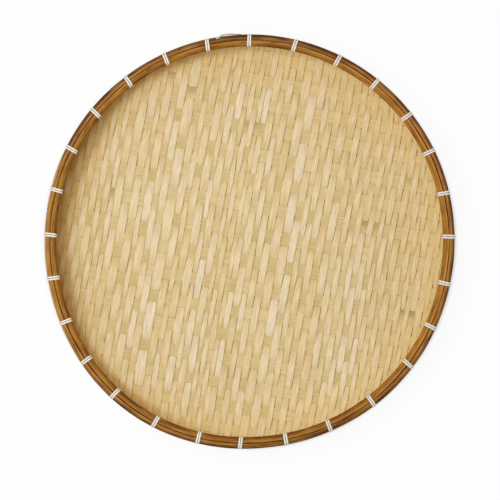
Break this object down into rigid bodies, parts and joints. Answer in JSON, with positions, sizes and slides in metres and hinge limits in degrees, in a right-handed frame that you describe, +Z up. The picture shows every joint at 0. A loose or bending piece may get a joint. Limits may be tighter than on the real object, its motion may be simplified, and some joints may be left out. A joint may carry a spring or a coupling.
{
  "type": "woven bamboo tray basket",
  "caption": "Shallow round zaru tray of flat woven bamboo strips, its edge held between two bent bamboo hoops and bound with white strands.",
  "frame": {"origin": "middle of the flat underside that the tray rests on", "axes": "+Z up, out of the open side; +Y towards the top of the picture and +X towards its right, so that the long strips of the weave lean about ten degrees from +Y towards +X"},
  "size_m": [0.4006, 0.4054, 0.0433],
  "materials": {
    "pale_bamboo": "pale straw-coloured split bamboo, satin, with fine lengthwise grain",
    "amber_bamboo": "amber bamboo skin, smooth and slightly glossy, darker on its outer edge",
    "white_strand": "off-white flat strand with a soft sheen"
  },
  "bodies": {
    "root": {"woven_mat": "pale_bamboo", "inner_hoop": "amber_bamboo", "outer_hoop": "amber_bamboo", "lashing_01": "white_strand", "lashing_02": "white_strand", "lashing_03": "white_strand", "lashing_04": "white_strand", "lashing_05": "white_strand", "lashing_06": "white_strand", "lashing_07": "white_strand", "lashing_08": "white_strand", "lashing_09": "white_strand", "lashing_10": "white_strand", "lashing_11": "white_strand", "lashing_12": "white_strand", "lashing_13": "white_strand", "lashing_14": "white_strand", "lashing_15": "white_strand", "lashing_16": "white_strand", "lashing_17": "white_strand", "lashing_18": "white_strand", "lashing_19": "white_strand", "lashing_20": "white_strand", "lashing_21": "white_strand", "lashing_22": "white_strand", "lashing_23": "white_strand", "lashing_24": "white_strand", "lashing_25": "white_strand", "lashing_26": "white_strand", "lashing_27": "white_strand", "lashing_28": "white_strand", "loose_strand_end": "white_strand"}
  },
  "joints": []
}
